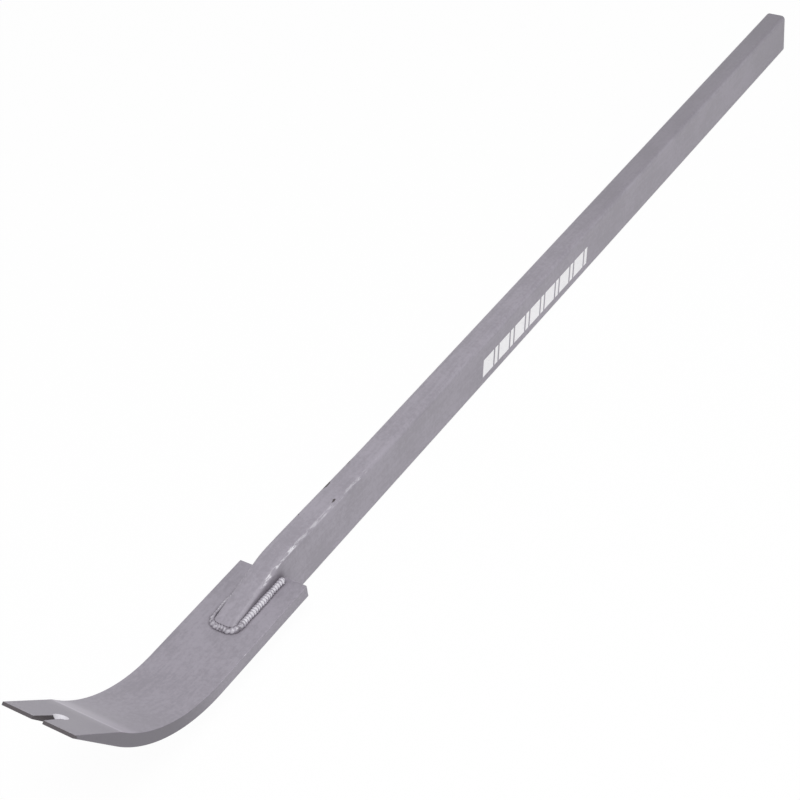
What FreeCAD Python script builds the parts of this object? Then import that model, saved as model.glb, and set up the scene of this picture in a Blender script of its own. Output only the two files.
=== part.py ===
import FreeCAD, Part
import math
import os

# Welded steel pry bar. A thick flat blade with a curled, wedge-shaped, slotted tip is let into the
# slit end of a rectangular tube, and the tube's two halves are drawn down onto it and welded.
# Millimetres. +X runs along the handle from the blade to the plain end, +Y is across the blade and
# +Z is up, the way the tip curls. The origin is the bottom centre of the bounding box, and the bar
# lies on the underside of its tube. Until the last step, X is measured from the blade's square end.

# Blade
blade_width = 76.2
blade_thickness = 12.7
blade_straight = 134.0  # from the square end to the start of the bend
bend_radius = 148.0  # of the upper, inner face
bend_angle = 52.0
taper_length = 62.0
tip_thickness = 3.0
blade_edge_round = 0.8

# Nail slot in the tip
slot_depth = 32.0
slot_mouth = 11.0
slot_root = 7.0
slot_countersink = 3.2  # how much wider than the root its countersink is, each side
slot_countersink_depth = 4.0

# Handle tube
handle_length = 1130.0  # from the blade's square end to the plain end
tube_width = 25.4
tube_height = 50.8
tube_wall = 3.0
tube_corner = 5.0
blade_seat = 20.5  # height of the blade's underside above the tube's underside
slit_gap = 0.5  # between the blade's square end and the end of the slit

# The slit end, opened a little over the blade and drawn down to a nose
flare_rise = 3.3
flare_start = 165.0
flare_end = 30.0
nose_length = 78.0  # of the tube beyond the blade's square end
nose_height = 4.0
nose_corner = 8.0
ramp_round = 90.0  # where the tube's top turns down towards the nose
flare_round = 1000.0  # of the gentle turns at the two ends of the flare

# End cap, let into the plain end
cap_thickness = 3.0
cap_clearance = 0.15
cap_recess = 2.0
cap_weld_leg = 1.8

# Weld beads
side_weld_leg = 5.0
nose_weld_leg = 3.6
weld_bulge = 0.35  # how far a bead's face stands out, as a share of its leg
weld_start = 3.5  # from the blade's square end

# Painted stripes on one side of the handle
mark_start = 356.0
mark_length = 231.0
mark_height = 19.0
mark_centre = 21.0  # above the tube's underside
mark_pairs = 7
mark_gap = 3.0
mark_narrow = 6.0
mark_slant = 14.0
mark_thickness = 0.12

# Worked out from the sizes above
blade_under = blade_seat
blade_top = blade_seat + blade_thickness
bore_width = tube_width - 2 * tube_wall
bore_corner = tube_corner - tube_wall
half_width = tube_width / 2
bend = math.radians(bend_angle)


def vector(x, y, z):
    return FreeCAD.Vector(x, y, z)


def side_point(x, z):
    """A point of a side view, in the plane Y = 0."""
    return vector(x, 0, z)


def face_from(edges):
    return Part.Face(Part.Wire(Part.__sortEdges__(edges)))


def closed_polygon(points):
    return Part.Face(Part.makePolygon(points + [points[0]]))


def rounded_path(points, radii):
    """Edges through the points, with a tangent arc of the given radius at each inner point."""
    edges = []
    start = points[0]
    for before, corner, after, radius in zip(points, points[1:], points[2:], radii):
        back = (before - corner).normalize()
        ahead = (after - corner).normalize()
        half_angle = back.getAngle(ahead) / 2
        trim = radius / math.tan(half_angle)
        arc_start = corner + back * trim
        arc_end = corner + ahead * trim
        bisector = (back + ahead).normalize()
        middle = corner + bisector * (radius / math.sin(half_angle) - radius)
        edges.append(Part.LineSegment(start, arc_start).toShape())
        edges.append(Part.Arc(arc_start, middle, arc_end).toShape())
        start = arc_end
    edges.append(Part.LineSegment(start, points[-1]).toShape())
    return edges


def blade_points():
    """Where the blade's straight, bend and taper meet in the side view, and its tip."""
    outer_radius = bend_radius + blade_thickness
    centre_z = blade_top + bend_radius
    along = side_point(-math.cos(bend), math.sin(bend))
    upward = side_point(math.sin(bend), math.cos(bend))
    points = {"along": along, "upward": upward}
    for name, radius in (("top", bend_radius), ("under", outer_radius)):
        points[name + "_bend_start"] = side_point(-blade_straight, centre_z - radius)
        points[name + "_bend_middle"] = side_point(
            -blade_straight - radius * math.sin(bend / 2), centre_z - radius * math.cos(bend / 2))
        points[name + "_bend_end"] = side_point(
            -blade_straight - radius * math.sin(bend), centre_z - radius * math.cos(bend))
    points["under_tip"] = points["under_bend_end"] + along * taper_length
    points["top_tip"] = points["under_tip"] + upward * tip_thickness
    return points


def blade_body():
    """The flat bar with its bend and its wedge, before the nail slot is cut."""
    at = blade_points()
    square_top = side_point(0, blade_top)
    square_under = side_point(0, blade_under)
    edges = [
        Part.LineSegment(square_top, at["top_bend_start"]).toShape(),
        Part.Arc(at["top_bend_start"], at["top_bend_middle"], at["top_bend_end"]).toShape(),
        Part.LineSegment(at["top_bend_end"], at["top_tip"]).toShape(),
        Part.LineSegment(at["top_tip"], at["under_tip"]).toShape(),
        Part.LineSegment(at["under_tip"], at["under_bend_end"]).toShape(),
        Part.Arc(at["under_bend_end"], at["under_bend_middle"], at["under_bend_start"]).toShape(),
        Part.LineSegment(at["under_bend_start"], square_under).toShape(),
        Part.LineSegment(square_under, square_top).toShape(),
    ]
    body = face_from(edges).extrude(vector(0, blade_width, 0))
    body.translate(vector(0, -blade_width / 2, 0))
    long_edges = [edge for edge in body.Edges if edge.BoundBox.YLength < blade_width / 2]
    return body.makeFillet(blade_edge_round, long_edges)


def slot_cutter():
    """A tapering slot with a round inner end, open at the tip and through both faces."""
    root_radius = slot_root / 2
    root_centre = slot_depth - root_radius
    reach = taper_length / 2
    mouth = slot_mouth / 2 + (slot_mouth - slot_root) / 2 * reach / root_centre
    edges = [
        Part.LineSegment(vector(-reach, mouth, 0), vector(root_centre, root_radius, 0)).toShape(),
        Part.Arc(vector(root_centre, root_radius, 0), vector(slot_depth, 0, 0),
                 vector(root_centre, -root_radius, 0)).toShape(),
        Part.LineSegment(vector(root_centre, -root_radius, 0), vector(-reach, -mouth, 0)).toShape(),
        Part.LineSegment(vector(-reach, -mouth, 0), vector(-reach, mouth, 0)).toShape(),
    ]
    cutter = face_from(edges).extrude(vector(0, 0, 3 * blade_thickness))
    cutter.translate(vector(0, 0, -blade_thickness))
    return cutter


def countersink_cutter():
    """A cone round the slot's inner end, sunk square into the upper face of the wedge."""
    root_radius = slot_root / 2
    slope = slot_countersink / slot_countersink_depth
    above = slot_countersink_depth
    cone = Part.makeCone(root_radius, root_radius + slope * (slot_countersink_depth + above),
                         slot_countersink_depth + above)
    root_centre = slot_depth - root_radius
    wedge = math.atan((blade_thickness - tip_thickness) / taper_length)
    face_height = tip_thickness + root_centre * math.tan(wedge)
    cone.translate(vector(0, 0, -slot_countersink_depth))
    cone.rotate(vector(0, 0, 0), vector(0, 1, 0), -math.degrees(wedge))
    cone.translate(vector(root_centre, 0, face_height))
    return cone


def place_on_wedge(shape):
    """Moves a cutter drawn with X from the tip to the heel and Z off the underside onto the tip."""
    at = blade_points()
    heelward = at["along"] * -1
    matrix = FreeCAD.Matrix(
        heelward.x, 0, at["upward"].x, at["under_tip"].x,
        heelward.y, 1, at["upward"].y, at["under_tip"].y,
        heelward.z, 0, at["upward"].z, at["under_tip"].z,
        0, 0, 0, 1)
    placed = shape.copy()
    placed.transformShape(matrix)
    return placed


def blade():
    body = blade_body()
    return body.cut(place_on_wedge(slot_cutter())).cut(place_on_wedge(countersink_cutter()))


def jaw_profile(inset, upward):
    """Side view of the tube above or below the blade's middle, drawn in by inset from the outside.

    upward is 1 for the upper half, which opens over the blade, and -1 for the lower half. The
    ramp runs on past the nose to the middle of the blade, and the plan view cuts it off.
    """
    middle = (blade_under + blade_top) / 2
    if upward > 0:
        seat = blade_top
        wall = tube_height
        opened = tube_height + flare_rise
    else:
        seat = blade_under
        wall = 0
        opened = 0
    ramp_end = seat + upward * nose_height
    ramp_angle = math.atan(abs(opened - ramp_end) / nose_length)
    shift = upward * inset
    ramp_shift = inset * math.tan(ramp_angle / 2)
    past_nose = (abs(ramp_end - middle) - inset / math.cos(ramp_angle)) / math.tan(ramp_angle)
    points = [side_point(handle_length + tube_width, middle),
              side_point(handle_length + tube_width, wall - shift)]
    radii = []
    if upward > 0:
        points.append(side_point(flare_start, wall - shift))
        points.append(side_point(flare_end, opened - shift))
        radii.extend([flare_round, flare_round])
    points.append(side_point(ramp_shift, opened - shift))
    radii.append(ramp_round)
    points.append(side_point(-nose_length - past_nose, middle))
    edges = rounded_path(points[1:], radii)
    edges.append(Part.LineSegment(points[-1], points[0]).toShape())
    edges.append(Part.LineSegment(points[0], points[1]).toShape())
    return face_from(edges)


def jaw_body(inset, upward, corner):
    """One half of the tube as a solid bar, its outer long edges rounded to the corner radius."""
    width = tube_width - 2 * inset
    middle = (blade_under + blade_top) / 2
    body = jaw_profile(inset, upward).extrude(vector(0, width, 0))
    body.translate(vector(0, -width / 2, 0))
    long_edges = []
    for edge in body.Edges:
        box = edge.BoundBox
        along_side = box.YLength < width / 2
        upright = box.XLength < corner / 10
        flat_on_middle = abs(box.ZMin - middle) + abs(box.ZMax - middle) < corner / 10
        if along_side and not upright and not flat_on_middle:
            long_edges.append(edge)
    return body.makeFillet(corner, long_edges)


def plan_outline(start_x, end_x, half, corner, height):
    """A prism over the tube's plan view, with its two corners at the nose rounded."""
    points = [vector(end_x, half, 0), vector(start_x, half, 0),
              vector(start_x, -half, 0), vector(end_x, -half, 0)]
    edges = rounded_path(points, [corner, corner])
    edges.append(Part.LineSegment(points[-1], points[0]).toShape())
    return face_from(edges).extrude(vector(0, 0, height))


def tube_solid(inset, corner, nose_x, end_x):
    """Both halves of the tube as one solid bar, trimmed to the plan view."""
    bar = jaw_body(inset, 1, corner).fuse(jaw_body(inset, -1, corner)).removeSplitter()
    plan = plan_outline(nose_x, end_x, tube_width / 2 - inset, nose_corner - inset,
                        tube_height + flare_rise)
    return bar.common(plan)


def handle_tube():
    outer = tube_solid(0, tube_corner, -nose_length, handle_length)
    bore = tube_solid(tube_wall, bore_corner, -nose_length + tube_wall, handle_length + tube_wall)
    slit = Part.makeBox(nose_length * 2, tube_width * 2, blade_thickness,
                        vector(-nose_length * 2 + slit_gap, -tube_width, blade_under))
    return outer.cut(bore).cut(slit)


def rounded_plate(width, height, thickness, corner):
    """A plate across the bore, centred on it, from X = 0 to its thickness."""
    points = [vector(0, -width / 2, 0), vector(0, width / 2, 0),
              vector(0, width / 2, height), vector(0, -width / 2, height)]
    plate = closed_polygon(points).extrude(vector(thickness, 0, 0))
    along_x = [edge for edge in plate.Edges if edge.BoundBox.XLength > thickness / 2]
    return plate.makeFillet(corner, along_x)


def end_cap():
    width = bore_width - 2 * cap_clearance
    height = tube_height - 2 * tube_wall - 2 * cap_clearance
    cap = rounded_plate(width, height, cap_thickness, bore_corner - cap_clearance)
    cap.translate(vector(handle_length - cap_recess - cap_thickness, 0, tube_wall + cap_clearance))
    return cap


def cap_weld():
    """A ring of weld on the cap's face, against the wall of the bore all round."""
    height = tube_height - 2 * tube_wall
    ring = rounded_plate(bore_width, height, cap_weld_leg, bore_corner)
    hollow_corner = bore_corner / 2
    inner = rounded_plate(bore_width - 2 * cap_weld_leg, height - 2 * cap_weld_leg,
                          cap_weld_leg, hollow_corner)
    inner.translate(vector(0, 0, cap_weld_leg))
    ring = ring.cut(inner)
    ring.translate(vector(handle_length - cap_recess, 0, tube_wall))
    return ring


def bead_section(leg, direction):
    """Cross-section of a fillet bead in the YZ plane: a corner at the origin and a bulged face."""
    outer = vector(0, direction * leg, 0)
    upper = vector(0, 0, leg)
    reach = leg * (0.5 + weld_bulge / 2)
    crown = vector(0, direction * reach, reach)
    corner = vector(0, 0, 0)
    return face_from([Part.LineSegment(corner, outer).toShape(),
                      Part.Arc(outer, crown, upper).toShape(),
                      Part.LineSegment(upper, corner).toShape()])


def side_weld(side):
    """The straight bead along the foot of one side of the upper half, on the blade's top."""
    length = nose_length - nose_corner - weld_start
    bead = bead_section(side_weld_leg, side).extrude(vector(-length, 0, 0))
    bead.translate(vector(-weld_start, side * half_width, blade_top))
    return bead


def nose_weld():
    """The bead round the nose of the upper half: two quarter turns and a short straight."""
    centre_x = -nose_length + nose_corner
    centre_y = half_width - nose_corner
    up = vector(0, 0, 1)
    origin = vector(0, 0, 0)
    left = bead_section(nose_weld_leg, 1)
    left.translate(vector(0, nose_corner, 0))
    left = left.revolve(origin, up, 90)
    left.translate(vector(centre_x, centre_y, 0))
    right = bead_section(nose_weld_leg, -1)
    right.translate(vector(0, -nose_corner, 0))
    right = right.revolve(origin, up, -90)
    right.translate(vector(centre_x, -centre_y, 0))
    front = bead_section(nose_weld_leg, 1)
    front.rotate(origin, up, 90)
    front = front.extrude(vector(0, 2 * centre_y, 0))
    front.translate(vector(-nose_length, -centre_y, 0))
    bead = left.fuse(front).fuse(right).removeSplitter()
    bead.translate(vector(0, 0, blade_top))
    return bead


def on_underside(bead):
    """The same bead on the other face of the blade."""
    return bead.mirror(vector(0, 0, (blade_under + blade_top) / 2), vector(0, 0, 1))


def stripe(start, length):
    """One slanted painted stripe on the side of the tube."""
    lean = mark_height * math.tan(math.radians(mark_slant))
    low = mark_centre - mark_height / 2
    high = mark_centre + mark_height / 2
    face = closed_polygon([vector(start, -half_width, low), vector(start + length, -half_width, low),
                           vector(start + length + lean, -half_width, high),
                           vector(start + lean, -half_width, high)])
    return face.extrude(vector(0, -mark_thickness, 0))


def painted_mark():
    """Pairs of one long and one short stripe along the middle of the handle's side."""
    pitch = mark_length / mark_pairs
    long_stripe = pitch - mark_narrow - 2 * mark_gap
    stripes = []
    for index in range(mark_pairs):
        start = mark_start + index * pitch
        stripes.append(stripe(start, long_stripe))
        stripes.append(stripe(start + long_stripe + mark_gap, mark_narrow))
    return Part.makeCompound(stripes)


def all_parts():
    left_weld = side_weld(1)
    right_weld = side_weld(-1)
    front_weld = nose_weld()
    return {
        "blade": blade(),
        "handle_tube": handle_tube(),
        "end_cap": end_cap(),
        "end_cap_weld": cap_weld(),
        "upper_left_weld": left_weld,
        "upper_right_weld": right_weld,
        "upper_nose_weld": front_weld,
        "lower_left_weld": on_underside(left_weld),
        "lower_right_weld": on_underside(right_weld),
        "lower_nose_weld": on_underside(front_weld),
        "painted_stripes": painted_mark(),
    }


os.makedirs("parts", exist_ok=True)
tip_x = blade_points()["under_tip"].x
to_centre = vector(-(handle_length + tip_x) / 2, 0, 0)
for node, shape in all_parts().items():
    shape.translate(to_centre)
    shape.exportStep("parts/" + node + ".step")
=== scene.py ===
"""Welded steel pry bar: its paint, rippled weld beads and printed stripes, and a plain studio."""
import math

import bmesh
import bpy
from bpy.props import FloatProperty, FloatVectorProperty, IntProperty, PointerProperty
from mathutils import Matrix, Vector, noise


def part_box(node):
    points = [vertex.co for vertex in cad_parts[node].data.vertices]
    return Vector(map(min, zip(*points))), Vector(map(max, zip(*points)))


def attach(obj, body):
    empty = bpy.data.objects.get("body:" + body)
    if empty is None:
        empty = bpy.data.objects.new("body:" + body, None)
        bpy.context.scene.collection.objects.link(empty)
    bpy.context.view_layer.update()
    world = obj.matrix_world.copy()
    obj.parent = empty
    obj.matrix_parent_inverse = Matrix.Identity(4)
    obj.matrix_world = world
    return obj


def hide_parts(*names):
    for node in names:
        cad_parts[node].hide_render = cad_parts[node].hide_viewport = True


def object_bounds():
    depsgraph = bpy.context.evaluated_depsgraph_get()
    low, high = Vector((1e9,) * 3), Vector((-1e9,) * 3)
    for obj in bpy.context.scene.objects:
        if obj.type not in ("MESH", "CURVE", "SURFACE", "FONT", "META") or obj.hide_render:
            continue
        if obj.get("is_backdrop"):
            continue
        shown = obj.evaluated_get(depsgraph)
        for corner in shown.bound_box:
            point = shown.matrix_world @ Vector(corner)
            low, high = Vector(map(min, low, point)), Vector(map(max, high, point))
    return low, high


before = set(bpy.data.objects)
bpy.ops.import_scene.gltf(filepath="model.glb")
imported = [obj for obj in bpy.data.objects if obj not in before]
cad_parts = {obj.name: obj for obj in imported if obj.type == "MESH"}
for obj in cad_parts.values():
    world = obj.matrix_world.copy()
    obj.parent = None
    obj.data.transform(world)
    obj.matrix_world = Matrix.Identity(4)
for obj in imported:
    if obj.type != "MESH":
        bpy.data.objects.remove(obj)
cad_low, cad_high = (list(corner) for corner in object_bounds())

bl_info = {
    "name": "Welded Pry Bar",
    "version": (1, 0, 0),
    "blender": (4, 5, 0),
    "location": "View3D > Sidebar > Pry Bar",
    "description": "Finishes the parts of a welded steel pry bar and sets up a plain studio",
    "category": "Object",
}

BODY = "root"
CREST = "crest"
UP = Vector((0, 0, 1))
SETTINGS = ("bar_paint", "bar_weld", "bar_print", "bar_studio")


def linear(red, green, blue):
    """A linear colour from its 0 to 255 screen values."""
    def channel(value):
        share = value / 255
        return share / 12.92 if share <= 0.04045 else ((share + 0.055) / 1.055) ** 2.4
    return channel(red), channel(green), channel(blue)


# Sizes and places that come from the frame, in metres
blade_low, blade_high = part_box("blade")
tube_low, tube_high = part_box("handle_tube")
cap_low, cap_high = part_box("end_cap")
bead_low, bead_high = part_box("upper_left_weld")
tip_x = blade_low[0]
square_end_x = blade_high[0]
nose_x = tube_low[0]
plain_end_x = tube_high[0]
blade_top_z = bead_low[2]
blade_middle_z = (blade_top_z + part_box("lower_left_weld")[1][2]) / 2
tube_half_width = tube_high[1]
tube_height = cap_high[2] + cap_low[2]

# The curled end and its nail slot, with the sizes that they have in the frame
TAPER_ANGLE = math.radians(52)
TAPER_NORMAL = (math.sin(TAPER_ANGLE), 0.0, math.cos(TAPER_ANGLE))
bend_start_x = tip_x + 0.1648
crease_x = tip_x + 0.0482
slot_end_x = tip_x + 0.0197
slot_half_width = 0.0055
slot_bevel_half_width = 0.0085

# Marks on the handle: the stretch of its top corner with painted highlight and scuffs, strong up to its
# fade point;
# where the painted shade on the top starts and where it is full; and how much of the plain end is
# shaded
SHEEN_AND_SCUFFS_FROM = square_end_x - 0.028
SHEEN_AND_SCUFFS_FADE = square_end_x + 0.024
SHEEN_AND_SCUFFS_TO = square_end_x + 0.139
TOP_SHADE_FROM = 0.08
TOP_SHADE_FULL = 0.26
END_SHADE_LENGTH = 0.15
# Chips on top: how far behind the blade's square end, where across the tube, and their length
CHIPS = (
    (0.107, tube_half_width - 0.0022, 0.0080),
    (0.145, tube_half_width - 0.0018, 0.0060),
    (0.091, -tube_half_width + 0.0040, 0.0045),
    (0.060, tube_half_width - 0.0030, 0.0040),
)

# How far a bead's face bulges, as a share of the leg, and how many steps there are across it
BEAD_BULGE = 0.17
BEAD_STEPS = 8
# The radius of the cap bead's corners, as a share of the bore's width
CAP_CORNER_SHARE = 0.1
# A slanting direction, along which no two points of a bead are level
SORTING = Vector((1.0, 0.618, 0.414))
# Where each kind of bead reads the noise, so that no two waver alike
SIDE_SEED, NOSE_SEED, CAP_SEED = 0.37, 7.7, 11.3

# Each lamp's name, the setting that holds its power, its size, and its place
LAMPS = (
    ("Key", "key_power", 1.2, (-0.8, -0.5, 2.0)),
    ("Fill", "fill_power", 2.0, (0.5, -2.2, 0.7)),
)
FLOOR_HALF_SIZE = 12.0
FLOOR_GREY = 0.93


class PaintSettings(bpy.types.PropertyGroup):
    """The grey paint over the steel, how it is marked and worn, and the colours of its painted
    highlights and shade.
    """

    colour: FloatVectorProperty(
        name="Paint", description="Colour of the grey paint", subtype="COLOR", size=3,
        min=0, max=1, default=linear(153, 148, 158))
    mottle: FloatProperty(
        name="Mottle", description="How much lighter and darker the paint's patches are",
        default=0.10, min=0, max=0.5, subtype="FACTOR")
    roughness: FloatProperty(
        name="Roughness", description="How dull the paint is", default=0.44, min=0, max=1,
        subtype="FACTOR")
    peel: FloatProperty(
        name="Orange peel", description="Height of the paint's fine ripple", default=0.00010,
        unit="LENGTH")
    # Bare steel's colour is also laid as painted shade on the slot walls and the tip's end face
    steel: FloatVectorProperty(
        name="Bare steel", description="Colour of the dark steel where paint has chipped off",
        subtype="COLOR", size=3, min=0, max=1, default=linear(74, 68, 70))
    # The scuff colour is also laid as painted highlight on edges, the slot's bevel and the beads'
    # crowns
    scuff_and_sheen: FloatVectorProperty(
        name="Scuffed paint", description="Colour of paint that is rubbed bright on an edge",
        subtype="COLOR", size=3, min=0, max=1, default=linear(222, 220, 226))
    # The grime colour is also laid as painted shade over the beads, at their toes and between their
    # ripples
    grime_and_shade: FloatVectorProperty(
        name="Grime", description="Colour of the dirt that stays in corners", subtype="COLOR",
        size=3, min=0, max=1, default=linear(96, 90, 98))


class WeldSettings(bpy.types.PropertyGroup):
    """The rippled fillet beads that join the tube to the blade and close the handle's end."""

    side_leg: FloatProperty(
        name="Side leg", description="Leg of the beads along the tube's sides", default=0.0050,
        unit="LENGTH")
    nose_reach: FloatProperty(
        name="Nose reach", description="How far the nose's bead reaches over the blade",
        default=0.0052, unit="LENGTH")
    nose_rise: FloatProperty(
        name="Nose rise", description="How high the nose's bead climbs the nose",
        default=0.0037, unit="LENGTH")
    cap_leg: FloatProperty(
        name="Cap leg", description="Leg of the bead round the end cap", default=0.0015,
        unit="LENGTH")
    pitch: FloatProperty(
        name="Ripple pitch", description="Distance from one ripple to the next",
        default=0.0032, unit="LENGTH")
    ripple: FloatProperty(
        name="Ripple", description="Depth of the ripples as a share of the leg", default=0.20,
        min=0, max=0.5, subtype="FACTOR")
    lag: FloatProperty(
        name="Ripple lag", description="How far a ripple's crown trails its toes", default=0.0014,
        unit="LENGTH")
    waver: FloatProperty(
        name="Waver", description="How much the bead's width wanders, as a share of the leg",
        default=0.20, min=0, max=0.5, subtype="FACTOR")
    nose_corner: FloatProperty(
        name="Nose corner", description="Radius of the nose's corners in plan", default=0.008,
        unit="LENGTH")
    steps: IntProperty(
        name="Steps", description="Mesh steps to each ripple", default=8, min=4, max=24)


class PrintSettings(bpy.types.PropertyGroup):
    """The white stripes printed on the handle's side."""

    colour: FloatVectorProperty(
        name="Print", description="Colour of the printed stripes", subtype="COLOR", size=3,
        min=0, max=1, default=linear(252, 251, 253))


class StudioSettings(bpy.types.PropertyGroup):
    """Camera, lamps and floor."""

    camera_place: FloatVectorProperty(
        name="Camera", description="Where the camera stands", subtype="XYZ", unit="LENGTH", size=3,
        default=(-1.3356, -0.860, 1.216))
    azimuth: FloatProperty(
        name="Azimuth", description="Compass direction that the camera looks from, 0 along +Y",
        default=math.radians(-53.1), subtype="ANGLE", unit="ROTATION")
    elevation: FloatProperty(
        name="Elevation", description="Height of the camera above the horizon as an angle",
        default=math.radians(38.6), subtype="ANGLE", unit="ROTATION")
    roll: FloatProperty(
        name="Roll", description="Turn of the camera about its own axis",
        default=math.radians(-7.1), subtype="ANGLE", unit="ROTATION")
    lens: FloatProperty(
        name="Lens", description="Focal length on a 36 mm sensor", default=84.0, unit="CAMERA")
    key_power: FloatProperty(
        name="Key", description="Power of the key light in watts", default=27.0, unit="POWER")
    fill_power: FloatProperty(
        name="Fill", description="Power of the fill light in watts", default=8.0, unit="POWER")
    sky: FloatProperty(
        name="Sky", description="Strength of the even white light from all round", default=0.42)
    floor_white: FloatProperty(
        name="Floor white", description="How much the floor shows as plain white to the camera",
        default=0.97, min=0, max=1, subtype="FACTOR")


# Node trees

class Tree:
    """Short ways to add and join shader nodes."""

    def __init__(self, tree):
        self.tree = tree

    def node(self, kind, **values):
        """A new node with its settings."""
        made = self.tree.nodes.new(kind)
        for name, value in values.items():
            setattr(made, name, value)
        return made

    def join(self, source, target):
        """A link from an output to an input."""
        self.tree.links.new(source, target)

    def feed(self, target, value):
        """Joins a socket to target, or sets target to a plain value."""
        if isinstance(value, bpy.types.NodeSocket):
            self.join(value, target)
        else:
            target.default_value = value

    def maths(self, operation, first, second=0.0, third=0.0, clamp=False):
        """The result of a Math node."""
        made = self.node("ShaderNodeMath", operation=operation, use_clamp=clamp)
        for socket, value in zip(made.inputs, (first, second, third)):
            self.feed(socket, value)
        return made.outputs[0]

    def ramp(self, value, low, high, start=0.0, end=1.0):
        """start at low and end at high, with soft ends. low may be the larger."""
        made = self.node("ShaderNodeMapRange", interpolation_type="SMOOTHSTEP")
        for socket, item in zip(made.inputs, (value, low, high, start, end)):
            self.feed(socket, item)
        return made.outputs[0]

    def mix(self, share, first, second):
        """The first colour, and the second where share is 1. Sockets 6, 7 and 2 are the colour ones."""
        made = self.node("ShaderNodeMix", data_type="RGBA")
        self.feed(made.inputs["Factor"], share)
        self.feed(made.inputs[6], first)
        self.feed(made.inputs[7], second)
        return made.outputs[2]

    def noise(self, scale, detail=2.0, roughness=0.5, stretch=None):
        """Noise over Object coordinates, drawn out along the axes by stretch."""
        vector = self.place_vector()
        if stretch:
            mapping = self.node("ShaderNodeMapping")
            self.join(vector, mapping.inputs["Vector"])
            mapping.inputs["Scale"].default_value = stretch
            vector = mapping.outputs["Vector"]
        made = self.node("ShaderNodeTexNoise")
        self.join(vector, made.inputs["Vector"])
        self.feed(made.inputs["Scale"], scale)
        made.inputs["Detail"].default_value = detail
        made.inputs["Roughness"].default_value = roughness
        return made.outputs["Fac"]

    def place_vector(self):
        """A point's place, in metres."""
        return self.node("ShaderNodeTexCoord").outputs["Object"]

    def normal(self):
        """The way that the surface faces."""
        return self.node("ShaderNodeNewGeometry").outputs["Normal"]

    def seen_white(self):
        """1 where the ray is the camera's own, or has come by a mirror or through glass."""
        ray = self.node("ShaderNodeLightPath").outputs
        indirect = self.maths("MAXIMUM", ray["Is Glossy Ray"], ray["Is Transmission Ray"])
        return self.maths("MAXIMUM", ray["Is Camera Ray"], indirect)

    def split(self, vector):
        """The three parts of a vector."""
        made = self.node("ShaderNodeSeparateXYZ")
        self.join(vector, made.inputs[0])
        return made.outputs

    def vector_maths(self, operation, first, second):
        """The outputs of a Vector Math node."""
        made = self.node("ShaderNodeVectorMath", operation=operation)
        self.feed(made.inputs[0], first)
        self.feed(made.inputs[1], second)
        return made.outputs

    def band(self, value, low, high, soft):
        """1 between low and high, falling to 0 over soft outside them."""
        return self.maths("MULTIPLY", self.ramp(value, low - soft, low),
                          self.ramp(value, high, high + soft, 1.0, 0.0))

    def product(self, *values):
        """Masks and shares multiplied together."""
        result = values[0]
        for value in values[1:]:
            result = self.maths("MULTIPLY", result, value, clamp=True)
        return result


def group_tree(name, inputs, outputs):
    """An empty shader group with named sockets, and its input and output nodes."""
    tree = bpy.data.node_groups.new(name, "ShaderNodeTree")
    for label, kind, default in inputs:
        socket = tree.interface.new_socket(label, in_out="INPUT", socket_type=kind)
        socket.default_value = default
    for label, kind in outputs:
        tree.interface.new_socket(label, in_out="OUTPUT", socket_type=kind)
    made = Tree(tree)
    return made, made.node("NodeGroupInput").outputs, made.node("NodeGroupOutput").inputs


def paint_grain_group():
    """Cloudy and streaky paint with a fine hammered mottle, and the height of its orange peel."""
    tree, given, out = group_tree(
        "Paint grain",
        [("Cloud size", "NodeSocketFloat", 22.0), ("Mottle size", "NodeSocketFloat", 260.0),
         ("Peel size", "NodeSocketFloat", 700.0)],
        [("Tone", "NodeSocketFloat"), ("Height", "NodeSocketFloat")])
    cloud = tree.noise(given["Cloud size"], detail=3.0, roughness=0.6)
    mottle = tree.noise(given["Mottle size"], detail=3.0, roughness=0.7)
    streak = tree.noise(1.0, detail=3.0, roughness=0.6, stretch=(16.0, 330.0, 330.0))
    peel = tree.noise(given["Peel size"], detail=2.0)
    tone = tree.maths("MULTIPLY", cloud, 0.35)
    tone = tree.maths("MULTIPLY_ADD", mottle, 0.4, tone)
    tone = tree.maths("MULTIPLY_ADD", streak, 0.25, tone)
    tree.join(tone, out["Tone"])
    height = tree.maths("MULTIPLY_ADD", mottle, 1.2, peel)
    tree.join(tree.maths("MULTIPLY_ADD", streak, 0.7, height), out["Height"])
    return tree.tree


def edge_group():
    """Rounded long edges, where the surface faces between sideways and another way."""
    tree, given, out = group_tree(
        "Long edge", [("Start", "NodeSocketFloat", 0.55)], [("Edge", "NodeSocketFloat")])
    sideways = tree.split(tree.normal())[1]
    square = tree.maths("MULTIPLY", sideways, sideways)
    other = tree.maths("SQRT", tree.maths("SUBTRACT", 1.0, square, clamp=True))
    both = tree.maths("MULTIPLY", tree.maths("ABSOLUTE", sideways), other)
    tree.join(tree.ramp(tree.maths("MULTIPLY", both, 2.0), given["Start"], 0.95), out["Edge"])
    return tree.tree


def wear_group():
    """Long rubbed patches and small ragged chips; more of each as its amount rises from 0 to 1."""
    tree, given, out = group_tree(
        "Wear",
        [("Rubbing", "NodeSocketFloat", 0.5), ("Chipping", "NodeSocketFloat", 0.3)],
        [("Rubbed", "NodeSocketFloat"), ("Chipped", "NodeSocketFloat")])
    patch = tree.noise(1.0, detail=4.0, roughness=0.7, stretch=(85.0, 420.0, 420.0))
    spot = tree.noise(230.0, detail=3.0, roughness=0.65)
    rub_from = tree.maths("MULTIPLY_ADD", given["Rubbing"], -0.45, 0.80)
    tree.join(tree.ramp(patch, rub_from, tree.maths("ADD", rub_from, 0.10)), out["Rubbed"])
    chip_from = tree.maths("MULTIPLY_ADD", given["Chipping"], -0.45, 0.86)
    tree.join(tree.ramp(spot, chip_from, tree.maths("ADD", chip_from, 0.04)), out["Chipped"])
    return tree.tree


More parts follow.
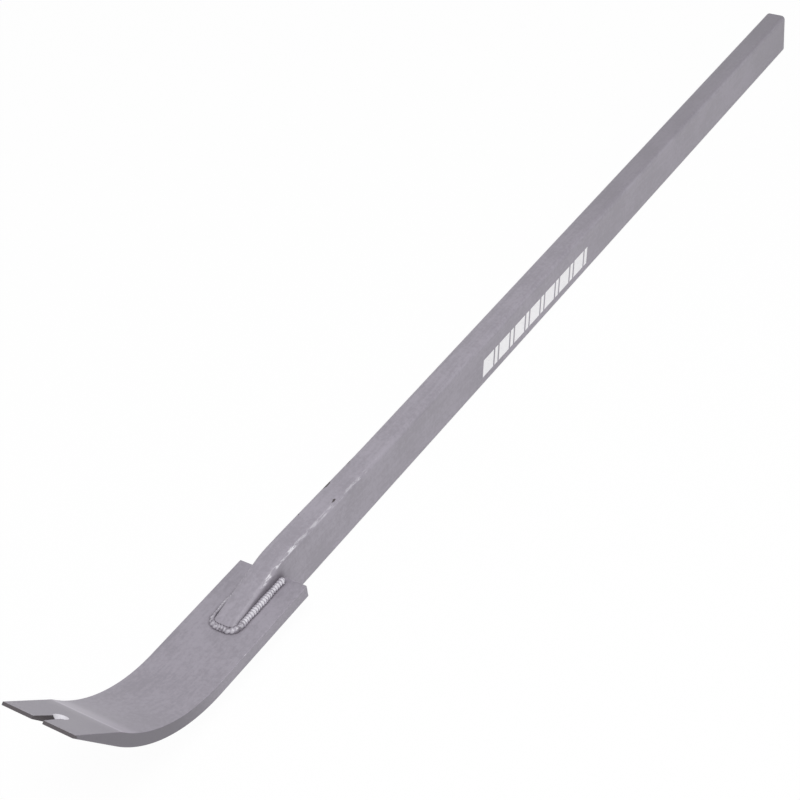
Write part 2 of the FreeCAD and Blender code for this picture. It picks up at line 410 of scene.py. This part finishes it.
def joint_group():
    """How far out from the tube's plan outline a point lies, and how far above or below the blade."""
    tree, given, out = group_tree(
        "Joint place",
        [("Corner", "NodeSocketFloat", 0.008)],
        [("Outside", "NodeSocketFloat"), ("Off blade", "NodeSocketFloat")])
    x, y, z = tree.split(tree.place_vector())
    front = tree.maths("ADD", given["Corner"], nose_x)
    ahead = tree.maths("MAXIMUM", tree.maths("SUBTRACT", front, x), 0.0)
    flank = tree.maths("SUBTRACT", tube_half_width, given["Corner"])
    aside = tree.maths("MAXIMUM", tree.maths("SUBTRACT", tree.maths("ABSOLUTE", y), flank), 0.0)
    squares = tree.maths("MULTIPLY_ADD", ahead, ahead, tree.maths("MULTIPLY", aside, aside))
    tree.join(tree.maths("SUBTRACT", tree.maths("SQRT", squares), given["Corner"]), out["Outside"])
    off = tree.maths("ABSOLUTE", tree.maths("SUBTRACT", z, blade_middle_z))
    tree.join(tree.maths("SUBTRACT", off, blade_top_z - blade_middle_z), out["Off blade"])
    return tree.tree


GROUP_MAKERS = {"Paint grain": paint_grain_group, "Long edge": edge_group, "Wear": wear_group,
                "Joint place": joint_group}


def group_node(tree, name, **values):
    """One of the shared groups, built the first time that it is asked for."""
    group = bpy.data.node_groups.get(name) or GROUP_MAKERS[name]()
    made = tree.node("ShaderNodeGroup", node_tree=group)
    for label, value in values.items():
        tree.feed(made.inputs[label], value)
    return made.outputs


def new_material(name):
    """A material with a Principled shader on its surface."""
    material = bpy.data.materials.new(name)
    material.use_nodes = True
    material.node_tree.nodes.clear()
    tree = Tree(material.node_tree)
    shader = tree.node("ShaderNodeBsdfPrincipled")
    surface = tree.node("ShaderNodeOutputMaterial").inputs["Surface"]
    tree.join(shader.outputs[0], surface)
    return material, tree, shader, surface


def lighter(colour, share):
    """A colour made lighter, or darker where share is under 1."""
    return [min(1.0, channel * share) for channel in colour]


class Coat:
    """Mottled grey paint on steel, with layers of wear, dirt, painted highlight and painted shade laid
    over it one by one.
    """

    def __init__(self, name, tint=1.0, bump=0.8):
        paint = bpy.context.scene.bar_paint
        self.paint = paint
        self.bump = bump
        self.material, self.tree, self.shader, _ = new_material(name)
        grain = group_node(self.tree, "Paint grain")
        shades = [lighter(paint.colour, tint * share) + [1.0]
                  for share in (1 - paint.mottle, 1 + paint.mottle)]
        self.colour = self.tree.mix(self.tree.ramp(grain["Tone"], 0.40, 0.60), *shades)
        self.roughness = self.tree.ramp(grain["Tone"], 0.35, 0.65, paint.roughness - 0.06,
                                        paint.roughness + 0.08)
        self.height = grain["Height"]

    def layer(self, mask, colour, roughness=None, lift=0.0):
        """Lays a colour over what is there, where the mask is 1. lift raises or sinks it."""
        self.colour = self.tree.mix(mask, self.colour, [*colour, 1.0])
        if roughness is not None:
            self.roughness = self.tree.mix(mask, self.roughness, [roughness] * 3 + [1.0])
        if lift:
            self.height = self.tree.maths("MULTIPLY_ADD", mask, lift, self.height)

    def shade(self, mask, share, roughness=None):
        """The paint's colour made lighter or darker, mostly as painted highlight and painted shade."""
        self.layer(mask, lighter(self.paint.colour, share), roughness)

    def rub_and_sheen(self, mask, roughness=0.38):
        """Paint rubbed bright and smooth, and painted highlight."""
        self.layer(mask, self.paint.scuff_and_sheen, roughness)

    def shade_and_dirt(self, mask):
        """Dull dirt, and painted shade in corners and crevices."""
        self.layer(mask, self.paint.grime_and_shade, 0.6)

    def bare_steel_and_shade(self, mask, roughness, lift=0.0):
        """Dark steel where the paint is gone, sunk below it by a negative lift, and painted shade laid
        as dark steel.
        """
        self.layer(mask, self.paint.steel, roughness, lift)

    def done(self):
        """Joins the layers to the shader."""
        tree = self.tree
        tree.join(self.colour, self.shader.inputs["Base Color"])
        tree.join(self.roughness, self.shader.inputs["Roughness"])
        bump = tree.node("ShaderNodeBump")
        bump.inputs["Strength"].default_value = self.bump
        bump.inputs["Distance"].default_value = self.paint.peel
        tree.join(self.height, bump.inputs["Height"])
        tree.join(bump.outputs["Normal"], self.shader.inputs["Normal"])
        return self.material


def wear_long_edges(coat, rubbing, chipping):
    """Rubs and chips the rounded long edges all along; the bright rubbing is also a painted highlight
    on them.
    """
    tree = coat.tree
    edge = group_node(tree, "Long edge")["Edge"]
    wear = group_node(tree, "Wear", Rubbing=rubbing, Chipping=chipping)
    coat.rub_and_sheen(tree.product(edge, wear["Rubbed"], 0.7))
    coat.bare_steel_and_shade(tree.product(edge, wear["Chipped"]), 0.6, lift=-2.0)


def tube_paint():
    """Paint on the handle: painted shadow over the beads, painted shade on the top and the end, painted
    highlight and scuffs on a top corner, and chips.
    """
    weld = bpy.context.scene.bar_weld
    coat = Coat("Handle paint")
    tree = coat.tree
    place = tree.place_vector()
    x, y, _ = tree.split(place)
    facing_up = tree.split(tree.normal())[2]
    wear_long_edges(coat, 0.30, 0.12)

    # Painted shadow on the walls just over the beads
    off_blade = group_node(tree, "Joint place", Corner=weld.nose_corner)["Off blade"]
    near_joint = tree.ramp(x, square_end_x + 0.004, square_end_x - 0.006)
    above_bead = tree.ramp(off_blade, weld.side_leg + 0.011, weld.side_leg - 0.001)
    walls = tree.ramp(tree.maths("ABSOLUTE", facing_up), 0.75, 0.35)
    coat.shade_and_dirt(tree.product(near_joint, above_bead, walls, 0.85))

    # Painted shade: the top of the outer half, and the last few centimetres all round, are made darker
    top = tree.ramp(facing_up, 0.5, 0.9)
    coat.shade(tree.product(tree.ramp(x, TOP_SHADE_FROM, TOP_SHADE_FULL), top, 0.42), 0.62)
    last = tree.ramp(x, plain_end_x - END_SHADE_LENGTH, plain_end_x - 0.02)
    coat.shade(tree.product(last, 0.26), 0.62)

    # The right top corner has painted highlight and scuffs in broken patches, most where the blade ends
    edge = group_node(tree, "Long edge", Start=0.66)["Edge"]
    rubbed = group_node(tree, "Wear", Rubbing=0.72)["Rubbed"]
    stretch = tree.band(x, SHEEN_AND_SCUFFS_FROM, SHEEN_AND_SCUFFS_TO, 0.006)
    fading = tree.ramp(x, SHEEN_AND_SCUFFS_FADE, SHEEN_AND_SCUFFS_FADE + 0.010, 0.95, 0.40)
    top_right = tree.product(tree.ramp(y, 0.0, -0.004), tree.ramp(facing_up, 0.15, 0.40))
    coat.rub_and_sheen(tree.product(edge, rubbed, stretch, top_right, fading), 0.36)

    # Ragged chips, longer along the handle than across it
    ragged = tree.noise(420.0, detail=3.0, roughness=0.7)
    for along, across, length in CHIPS:
        centre = (square_end_x + along, across, tube_height + 0.001)
        offset = tree.vector_maths("SUBTRACT", place, centre)["Vector"]
        scaled = tree.vector_maths("MULTIPLY", offset, (0.36, 1.0, 0.8))["Vector"]
        away = tree.vector_maths("LENGTH", scaled, (0, 0, 0))["Value"]
        reach = tree.maths("MULTIPLY", ragged, length * 0.52)
        coat.bare_steel_and_shade(tree.maths("LESS_THAN", away, reach), 0.65, lift=-3.0)
    return coat.done()


def blade_paint():
    """Paint on the blade: dark curl sides, painted highlight at the crease, painted shade on the taper,
    in the slot and on the tip's end, wear near the tip, and painted shade by the beads.
    """
    # Painted shade: the blade's paint is the handle's made darker by tint, against the key lamp that
    # stands over the blade
    coat = Coat("Blade paint", tint=0.93)
    tree = coat.tree
    x, y, _ = tree.split(tree.place_vector())
    normal = tree.normal()
    facing = tree.vector_maths("DOT_PRODUCT", normal, TAPER_NORMAL)["Value"]
    sideways = tree.maths("ABSOLUTE", tree.split(normal)[1])
    up_face = tree.ramp(facing, 0.5, 0.8)
    curl = tree.ramp(x, bend_start_x + 0.02, bend_start_x - 0.07)
    coat.shade(tree.product(curl, tree.ramp(sideways, 0.5, 0.9), 0.9), 0.48)

    # Painted highlight: a pale band and a bright line at the crease; painted shade: darker paint on the
    # taper before it
    behind_crease = tree.band(x, crease_x + 0.001, crease_x + 0.008, 0.012)
    coat.shade(tree.product(behind_crease, up_face, 0.55), 1.38, 0.4)
    coat.shade(tree.product(tree.ramp(x, crease_x, crease_x - 0.003), up_face, 0.55), 0.70)
    line = tree.band(x, crease_x - 0.0004, crease_x + 0.0012, 0.0010)
    coat.shade(tree.product(line, up_face, 0.5), 1.6, 0.4)
    wear_long_edges(coat, 0.42, 0.2)
    finish_slot(coat, x, tree.maths("ABSOLUTE", y), facing)

    # The tip's upper face is rubbed and chipped close to the edge
    wear = group_node(tree, "Wear", Rubbing=0.45, Chipping=0.35)
    near_tip = tree.product(tree.ramp(x, tip_x + 0.007, tip_x + 0.001), up_face)
    coat.rub_and_sheen(tree.product(near_tip, wear["Rubbed"], 0.5))
    coat.bare_steel_and_shade(tree.product(near_tip, wear["Chipped"], 0.8), 0.55, lift=-1.0)
    shade_bead_toes(coat, x)
    return coat.done()


def finish_slot(coat, x, side, facing):
    """Painted shade on the slot walls and the tip's end, laid as dark steel, and a painted highlight on
    the bevel at the slot's inner end.
    """
    tree = coat.tree
    by_slot = tree.product(tree.ramp(side, slot_half_width + 0.0006, slot_half_width),
                           tree.ramp(x, slot_end_x + 0.004, slot_end_x + 0.002))
    at_tip = tree.ramp(x, tip_x + 0.004, tip_x + 0.003)
    # Painted shade, as dark steel, on the slot walls and the tip's end face
    wall = tree.ramp(tree.maths("ABSOLUTE", facing), 0.42, 0.25)
    coat.bare_steel_and_shade(tree.product(wall, tree.maths("MAXIMUM", by_slot, at_tip), 0.9), 0.5)
    # Painted highlight on the bevel at the slot's inner end
    bevel = tree.band(facing, 0.50, 0.88, 0.05)
    inner_end = tree.product(
        tree.ramp(side, slot_bevel_half_width, slot_bevel_half_width - 0.001),
        tree.ramp(x, slot_end_x + 0.010, slot_end_x + 0.008),
        tree.ramp(x, tip_x + 0.002, tip_x + 0.006))
    coat.rub_and_sheen(tree.product(bevel, inner_end, 0.85), 0.36)


def shade_bead_toes(coat, x):
    """Ragged painted shade on the blade just outside the beads."""
    weld = bpy.context.scene.bar_weld
    tree = coat.tree
    outside = group_node(tree, "Joint place", Corner=weld.nose_corner)["Outside"]
    ragged = tree.noise(300.0, detail=3.0, roughness=0.7)
    toe = tree.maths("MULTIPLY_ADD", ragged, 0.003, outside)
    beside = tree.ramp(toe, weld.nose_reach + 0.0040, weld.nose_reach + 0.0010)
    before_end = tree.ramp(x, bead_high[0] + 0.003, bead_high[0] - 0.003)
    coat.shade_and_dirt(tree.product(beside, before_end, 0.65))


def cap_paint():
    """Paint on the cap, worn a little at its rim."""
    coat = Coat("Cap paint")
    wear_long_edges(coat, 0.3, 0.2)
    return coat.done()


def weld_paint():
    """Paint over weld metal: painted highlight on the ripples' crowns, painted shade between them and
    at the toes, and darker patches on the nose.
    """
    made = bpy.data.materials.get("Weld paint")
    if made is not None:
        return made
    weld = bpy.context.scene.bar_weld
    coat = Coat("Weld paint", tint=1.05, bump=0.9)
    tree = coat.tree
    crest = tree.node("ShaderNodeAttribute", attribute_name=CREST).outputs["Fac"]
    patch = tree.noise(150.0, detail=3.0, roughness=0.6)
    # Painted shade in the grooves between ripples and at the toes
    coat.shade_and_dirt(tree.product(tree.ramp(crest, 0.36, 0.08), 0.75))

    # Painted highlight: all along the straight beads, on the nose's only here and there, and on all of
    # them most on the half that is further from the tube
    high = tree.ramp(tree.maths("MULTIPLY_ADD", patch, 1.1, crest), 1.00, 1.45)
    x = tree.split(tree.place_vector())[0]
    nose_end, straight_start = bead_low[0] - 0.002, bead_low[0] + 0.006
    straight = tree.ramp(x, nose_end, straight_start, 0.45, 1.0)
    outside = group_node(tree, "Joint place", Corner=weld.nose_corner)["Outside"]
    outer = tree.ramp(outside, weld.side_leg * 0.25, weld.side_leg * 0.55, 0.30, 0.92)
    coat.rub_and_sheen(tree.product(high, straight, outer), 0.30)
    # Darker patches here and there on the nose
    nose = tree.ramp(x, straight_start, nose_end)
    coat.shade_and_dirt(tree.product(tree.ramp(patch, 0.47, 0.38), nose, 0.7))
    return coat.done()


def print_ink():
    """White ink on the paint, with a few pinholes and thin patches."""
    coat = Coat("White print")
    tree = coat.tree
    thin = tree.ramp(tree.noise(800.0, detail=3.0, roughness=0.75), 0.72, 0.62)
    coat.layer(tree.product(thin, 0.97), bpy.context.scene.bar_print.colour, 0.5)
    return coat.done()


def finish_node(node, material):
    """Gives a part of the frame its material, in every slot."""
    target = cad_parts[node]
    if not target.data.materials:
        target.data.materials.append(material)
    for slot in target.material_slots:
        slot.material = material


def add_piece(name, bm, replaced):
    """A finished bead from a bmesh, riding on the body in place of a part of the frame."""
    mesh = bpy.data.meshes.new(name)
    bm.to_mesh(mesh)
    bm.free()
    for polygon in mesh.polygons:
        polygon.use_smooth = True
    piece = bpy.data.objects.new(name, mesh)
    bpy.context.scene.collection.objects.link(piece)
    mesh.materials.append(weld_paint())
    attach(piece, BODY)
    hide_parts(replaced)


# Weld beads

def ring_section(bm, weld):
    """A closed ring of leg 1 across the bead: the corner, one toe, a bulged face, and the other toe."""
    points = [(0, 0, 0), (0, 1, 0)]
    for index in range(1, BEAD_STEPS):
        share = index / BEAD_STEPS
        crown = math.sin(math.pi * share)
        bulge = BEAD_BULGE * crown
        points.append((-weld.lag * crown, 1 - share + bulge, share + bulge))
    points.append((0, 0, 1))
    verts = [bm.verts.new(point) for point in points]
    return [bm.edges.new(pair) for pair in zip(verts, verts[1:] + verts[:1])], verts


def ripple_height(distance, pitch):
    """0 in the groove between two ripples and 1 on the crown of one."""
    return abs(math.sin(math.pi * distance / pitch)) ** 0.7


def end_taper(distance, length, run, open_start, open_end):
    """Rounds off a bead's free ends over run."""
    scale = 1.0
    for free, away in ((open_start, distance), (open_end, length - distance)):
        if free and away < run:
            scale *= math.sqrt(max(0.03, 1 - (1 - away / run) ** 2))
    return scale


def sweep_bead(weld, reach, rise, length, station, seed, open_start=False, open_end=False,
               closed=False):
    """A bead swept along a path. station(distance) gives the joint's corner, and the directions out
    and up from it. The crest attribute is 1 on the crown of a ripple and 0 at the toes."""
    bm = bmesh.new()
    crest = bm.verts.layers.float.new(CREST)
    edges, verts = ring_section(bm, weld)
    first = edges
    count = max(2, round(length / weld.pitch * weld.steps))
    pitch = length / max(1, round(length / weld.pitch))
    wander = weld.pitch * 2.3
    taper_run = weld.pitch * 1.4
    before = Matrix.Identity(4)
    for index in range(count if closed else count + 1):
        distance = length * index / count
        point, outward, upward = station(distance)
        turn = Matrix((outward.cross(upward), outward, upward)).transposed().to_4x4()
        high = ripple_height(distance, pitch)
        waver = noise.noise(point / wander + Vector((seed, 0, 0)))
        size = 1 + weld.ripple * (high - 0.6) + weld.waver * waver
        size *= end_taper(distance, length, taper_run, open_start, open_end)
        matrix = (Matrix.Translation(point) @ turn
                  @ Matrix.Diagonal((1, reach * size, rise * size, 1)))
        if index:
            made = bmesh.ops.extrude_edge_only(bm, edges=edges)["geom"]
            edges = [item for item in made if isinstance(item, bmesh.types.BMEdge)]
            verts = [item for item in made if isinstance(item, bmesh.types.BMVert)]
        bmesh.ops.transform(bm, matrix=matrix @ before.inverted(), verts=verts)
        before = matrix
        local = matrix.inverted()
        for vert in verts:
            across, up = (local @ vert.co)[1:]
            crown = math.sin(math.pi * up / (across + up)) if across + up > 0.5 else 0.0
            vert[crest] = crown * (0.25 + 0.75 * high)
    if closed:
        bmesh.ops.bridge_loops(bm, edges=[edge for edge in first + edges if edge.is_valid])
    else:
        bmesh.ops.holes_fill(bm, edges=bm.edges, sides=0)
    bmesh.ops.recalc_face_normals(bm, faces=bm.faces)
    # Extruding leaves these in no fixed order, and sorted they are the same in every run
    bm.verts.sort(key=lambda vert: vert.co.dot(SORTING))
    bm.faces.sort(key=lambda face: face.calc_center_median().dot(SORTING))
    return bm


def side_station(side, start):
    """Along the foot of one side of the tube, from start towards the blade's square end."""
    def at(distance):
        corner = Vector((start + distance, side * tube_half_width, blade_top_z))
        return corner, Vector((0, side, 0)), UP
    return at


def nose_station(corner):
    """Round the nose, from one side's corner to the other's, and the length of that path."""
    centre_x = nose_x + corner
    centre_y = tube_half_width - corner
    quarter = math.pi / 2 * corner
    front = 2 * centre_y

    def at(distance):
        if distance < quarter:
            angle = distance / corner
            outward = Vector((-math.sin(angle), -math.cos(angle), 0))
            centre = Vector((centre_x, -centre_y, blade_top_z))
        elif distance < quarter + front:
            outward = Vector((-1, 0, 0))
            centre = Vector((centre_x, -centre_y + distance - quarter, blade_top_z))
        else:
            angle = (distance - quarter - front) / corner
            outward = Vector((-math.cos(angle), math.sin(angle), 0))
            centre = Vector((centre_x, centre_y, blade_top_z))
        return centre + outward * corner, outward, UP
    return at, 2 * quarter + front


def cap_station(low, high, corner):
    """Round the inside of the tube's mouth, on the cap's face, and the length of that path."""
    face_x = cap_high[0]
    middle = (low + high) / 2
    half_y = (high.y - low.y) / 2 - corner
    half_z = (high.z - low.z) / 2 - corner
    quarter = math.pi / 2 * corner
    sides = [2 * half_z, 2 * half_y, 2 * half_z, 2 * half_y]
    corners = [(half_y, half_z), (-half_y, half_z), (-half_y, -half_z), (half_y, -half_z)]
    starts = [(half_y, -half_z), (half_y, half_z), (-half_y, half_z), (-half_y, -half_z)]

    def at(distance):
        for index in range(4):
            heading = math.pi / 2 * index
            out = Vector((0, math.cos(heading), math.sin(heading)))
            along = Vector((0, -math.sin(heading), math.cos(heading)))
            if distance <= sides[index]:
                start = Vector((0, *starts[index]))
                spot = start + out * corner + along * distance
                break
            distance -= sides[index]
            if distance <= quarter:
                turn = heading + distance / corner
                out = Vector((0, math.cos(turn), math.sin(turn)))
                spot = Vector((0, *corners[index])) + out * corner
                break
            distance -= quarter
        return Vector((face_x, middle.y, middle.z)) + spot, -out, Vector((1, 0, 0))
    return at, sum(sides) + 4 * quarter


def to_underside(bm):
    """Mirrors a bead to the other face of the blade."""
    flip = Matrix.Translation((0, 0, 2 * blade_middle_z)) @ Matrix.Diagonal((1, 1, -1, 1))
    bmesh.ops.transform(bm, matrix=flip, verts=bm.verts)
    bmesh.ops.recalc_face_normals(bm, faces=bm.faces)


# Operators

class PRYBAR_OT_steel(bpy.types.Operator):
    """Paint the blade, the handle tube and its end cap"""

    bl_idname = "prybar.steel"
    bl_label = "Paint the Steel"

    def execute(self, context):
        finish_node("handle_tube", tube_paint())
        finish_node("blade", blade_paint())
        finish_node("end_cap", cap_paint())
        return {"FINISHED"}


class PRYBAR_OT_side_welds(bpy.types.Operator):
    """Lay the rippled beads along the tube's sides, on both faces of the blade"""

    bl_idname = "prybar.side_welds"
    bl_label = "Lay the Side Welds"

    def execute(self, context):
        weld = context.scene.bar_weld
        start = bead_low[0] - weld.pitch * 0.8
        length = bead_high[0] - start
        sides = (("left", 1), ("right", -1))
        beads = [(face, *side) for face in ("upper", "lower") for side in sides]
        for seed, (face, name, side) in enumerate(beads):
            bm = sweep_bead(weld, weld.side_leg, weld.side_leg, length, side_station(side, start),
                            seed + SIDE_SEED, open_start=True, open_end=True)
            if face == "lower":
                to_underside(bm)
            add_piece(f"{face}_{name}_bead", bm, f"{face}_{name}_weld")
        return {"FINISHED"}


class PRYBAR_OT_nose_welds(bpy.types.Operator):
    """Lay the rippled beads round the drawn-down nose, on both faces of the blade"""

    bl_idname = "prybar.nose_welds"
    bl_label = "Lay the Nose Welds"

    def execute(self, context):
        weld = context.scene.bar_weld
        station, length = nose_station(weld.nose_corner)
        for seed, face in enumerate(("upper", "lower")):
            bm = sweep_bead(weld, weld.nose_reach, weld.nose_rise, length, station,
                            seed + NOSE_SEED)
            if face == "lower":
                to_underside(bm)
            add_piece(f"{face}_nose_bead", bm, f"{face}_nose_weld")
        return {"FINISHED"}


class PRYBAR_OT_cap_weld(bpy.types.Operator):
    """Lay the small bead that seals the end cap into the tube's mouth"""

    bl_idname = "prybar.cap_weld"
    bl_label = "Lay the Cap Weld"

    def execute(self, context):
        weld = context.scene.bar_weld
        low, high = (Vector(corner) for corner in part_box("end_cap_weld"))
        corner = min(high.y - low.y, high.z - low.z) * CAP_CORNER_SHARE
        station, length = cap_station(low, high, corner)
        bm = sweep_bead(weld, weld.cap_leg, weld.cap_leg, length, station, CAP_SEED, closed=True)
        add_piece("end_cap_bead", bm, "end_cap_weld")
        return {"FINISHED"}


class PRYBAR_OT_print(bpy.types.Operator):
    """Give the printed stripes their ink"""

    bl_idname = "prybar.print"
    bl_label = "Print the Stripes"

    def execute(self, context):
        finish_node("painted_stripes", print_ink())
        return {"FINISHED"}


class PRYBAR_OT_studio(bpy.types.Operator):
    """Set up the camera, the lamps, the world and the floor"""

    bl_idname = "prybar.studio"
    bl_label = "Set Up the Studio"

    def execute(self, context):
        studio = context.scene.bar_studio
        self.add_camera(context, studio)
        self.add_world(context, studio)
        self.add_lamps(context, studio)
        self.add_floor(context, studio)
        context.scene.view_settings.view_transform = "Standard"
        return {"FINISHED"}

    def add_camera(self, context, studio):
        """The camera, at its place and turned to its azimuth, elevation and roll."""
        data = bpy.data.cameras.new("Camera")
        data.sensor_width = 36.0
        data.lens = studio.lens
        camera = bpy.data.objects.new("Camera", data)
        level = math.cos(studio.elevation)
        back = Vector((math.sin(studio.azimuth) * level, -math.cos(studio.azimuth) * level,
                       math.sin(studio.elevation)))
        turn = (-back).to_track_quat("-Z", "Y").to_matrix().to_4x4()
        roll = Matrix.Rotation(studio.roll, 4, "Z")
        camera.matrix_world = Matrix.Translation(studio.camera_place) @ turn @ roll
        context.scene.collection.objects.link(camera)
        context.scene.camera = camera

    def add_world(self, context, studio):
        """White all round, plain to the camera and dimmer as light."""
        world = bpy.data.worlds.new("Studio")
        context.scene.world = world
        world.use_nodes = True
        world.node_tree.nodes.clear()
        tree = Tree(world.node_tree)
        sky = tree.node("ShaderNodeBackground")
        strength = tree.ramp(tree.seen_white(), 0.0, 1.0, studio.sky, 1.0)
        tree.join(strength, sky.inputs["Strength"])
        tree.join(sky.outputs[0], tree.node("ShaderNodeOutputWorld").inputs["Surface"])
        sky.inputs["Color"].default_value = (1, 1, 1, 1)

    def add_lamps(self, context, studio):
        """The area lamps, turned to the middle of the bar."""
        middle = (Vector(cad_low) + Vector(cad_high)) / 2
        for name, power, size, place in LAMPS:
            data = bpy.data.lights.new(name, "AREA")
            data.energy = getattr(studio, power)
            data.size = size
            lamp = bpy.data.objects.new(name, data)
            lamp.location = place
            lamp.rotation_euler = (middle - Vector(place)).to_track_quat("-Z", "Y").to_euler()
            context.scene.collection.objects.link(lamp)

    def add_floor(self, context, studio):
        """A pale floor that shows as white and keeps a trace of the bar's shadow."""
        bm = bmesh.new()
        bmesh.ops.create_grid(bm, x_segments=1, y_segments=1, size=FLOOR_HALF_SIZE)
        mesh = bpy.data.meshes.new("floor")
        bm.to_mesh(mesh)
        bm.free()
        material, tree, shader, surface = new_material("Floor")
        shader.inputs["Base Color"].default_value = (FLOOR_GREY, FLOOR_GREY, FLOOR_GREY, 1)
        shader.inputs["Roughness"].default_value = 0.9
        shader.inputs["Specular IOR Level"].default_value = 0.1
        glow = tree.node("ShaderNodeEmission")
        blend = tree.node("ShaderNodeMixShader")
        white = tree.maths("MULTIPLY", tree.seen_white(), studio.floor_white)
        tree.join(white, blend.inputs[0])
        tree.join(shader.outputs[0], blend.inputs[1])
        tree.join(glow.outputs[0], blend.inputs[2])
        tree.join(blend.outputs[0], surface)
        mesh.materials.append(material)
        floor = bpy.data.objects.new("floor", mesh)
        context.scene.collection.objects.link(floor)
        floor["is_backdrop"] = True


OPERATORS = (PRYBAR_OT_studio, PRYBAR_OT_steel, PRYBAR_OT_side_welds, PRYBAR_OT_nose_welds,
             PRYBAR_OT_cap_weld, PRYBAR_OT_print)


class PRYBAR_PT_panel(bpy.types.Panel):
    """The bar's pieces and settings"""

    bl_idname = "PRYBAR_PT_panel"
    bl_label = "Pry Bar"
    bl_space_type = "VIEW_3D"
    bl_region_type = "UI"
    bl_category = "Pry Bar"

    def draw(self, context):
        layout = self.layout
        for operator in OPERATORS:
            layout.operator(operator.bl_idname)
        for name in SETTINGS:
            group = getattr(context.scene, name)
            box = layout.box()
            for key in group.__annotations__:
                box.prop(group, key)


CLASSES = (PaintSettings, WeldSettings, PrintSettings, StudioSettings, *OPERATORS, PRYBAR_PT_panel)


def register():
    """Adds the classes, and the settings to the scene."""
    for item in CLASSES:
        bpy.utils.register_class(item)
    groups = (PaintSettings, WeldSettings, PrintSettings, StudioSettings)
    for name, group in zip(SETTINGS, groups):
        setattr(bpy.types.Scene, name, PointerProperty(type=group))


def unregister():
    """Takes the settings and the classes away again."""
    for name in SETTINGS:
        delattr(bpy.types.Scene, name)
    for item in reversed(CLASSES):
        bpy.utils.unregister_class(item)


def main():
    """Finishes the whole bar."""
    register()
    bpy.ops.prybar.studio()
    bpy.ops.prybar.steel()
    bpy.ops.prybar.side_welds()
    bpy.ops.prybar.nose_welds()
    bpy.ops.prybar.cap_weld()
    bpy.ops.prybar.print()


if __name__ == "__main__":
    main()
